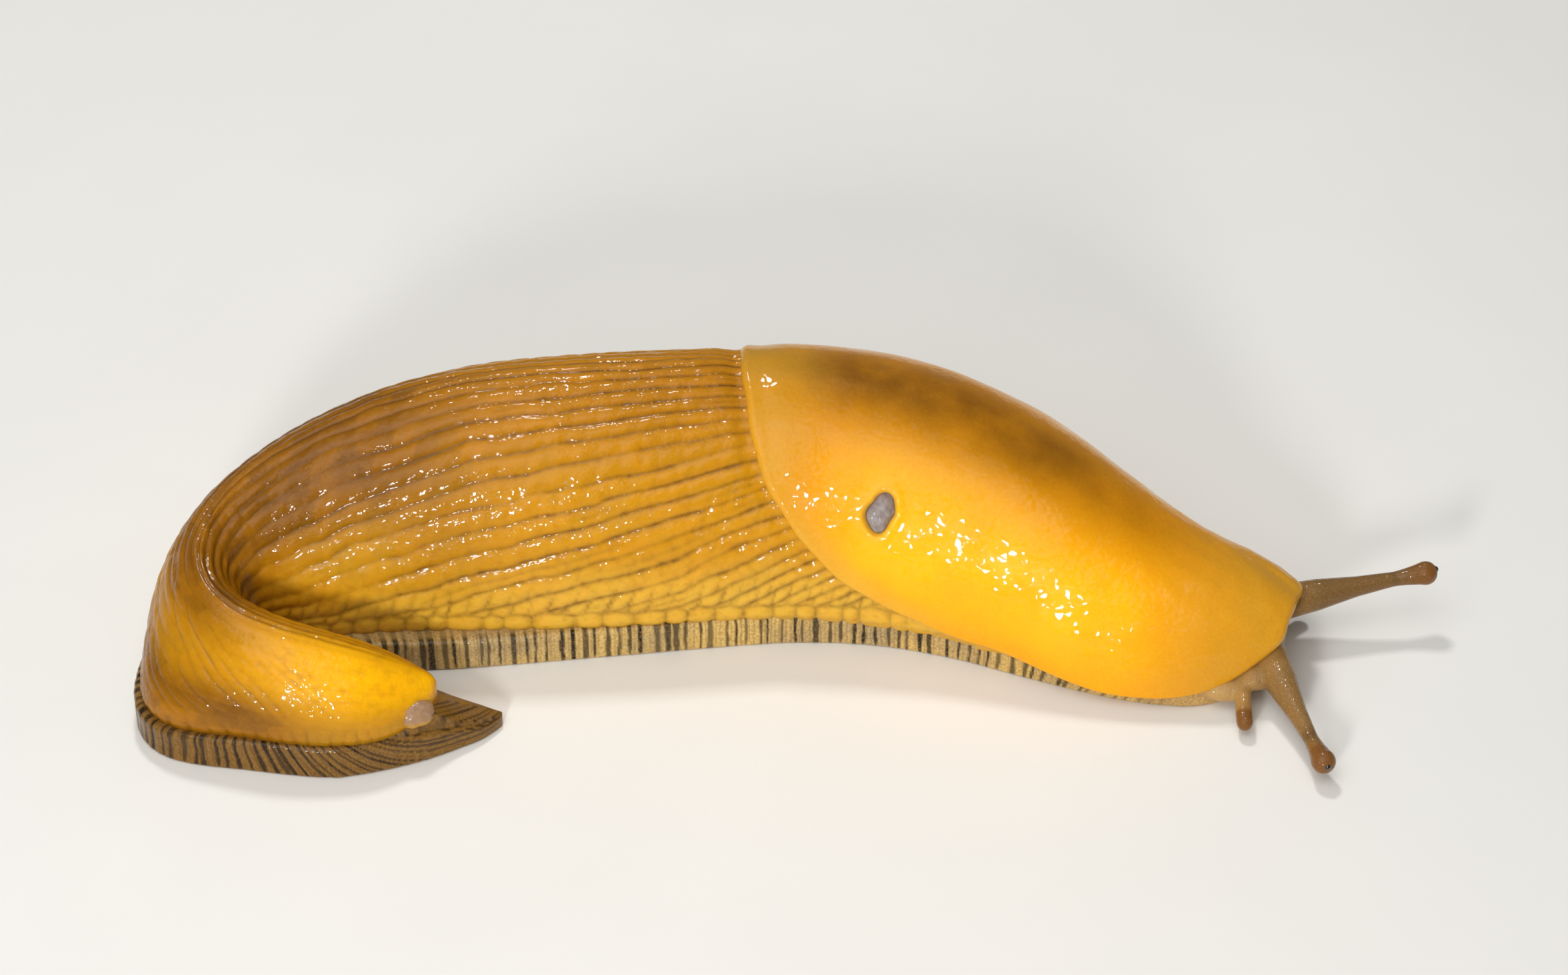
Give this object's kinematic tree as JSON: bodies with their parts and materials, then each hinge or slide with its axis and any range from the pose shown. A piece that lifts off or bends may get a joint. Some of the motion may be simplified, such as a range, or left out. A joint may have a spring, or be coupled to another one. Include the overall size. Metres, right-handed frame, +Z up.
{
  "type": "banana slug",
  "caption": "Life-size banana slug at rest, tail folded round beside the body, with mantle, lung opening, eye stalks, furrowed back and striped foot fringe",
  "frame": {"origin": "middle of the model's bounding box, on the ground under the sole", "axes": "+X towards the head end, along the trunk; +Z up; the slug's right flank and its folded tail face -Y"},
  "size_m": [0.1218, 0.0456, 0.0243],
  "materials": {
    "mantle_skin": "smooth wet bright yellow skin",
    "body_skin": "wet golden yellow skin with brown furrows",
    "head_skin": "wet tan skin",
    "foot_skin": "wet tan skin with dark upright stripes",
    "tentacle_skin": "wet translucent brown skin",
    "lung_lining": "wet grey lining",
    "gland_skin": "wet pinkish grey skin",
    "eye": "shiny black"
  },
  "bodies": {
    "root": {"head": "head_skin", "mantle": "mantle_skin", "fore_body": "body_skin", "trunk": "body_skin", "tail_bend": "body_skin", "tail": "body_skin", "foot_front": "foot_skin", "foot_middle": "foot_skin", "foot_bend": "foot_skin", "foot_tail": "foot_skin", "lung_opening": "lung_lining", "tail_gland": "gland_skin", "upper_tentacle_right": "tentacle_skin", "upper_tentacle_left": "tentacle_skin", "lower_tentacle_right": "tentacle_skin", "lower_tentacle_left": "tentacle_skin", "eye_right": "eye", "eye_left": "eye"}
  },
  "joints": []
}
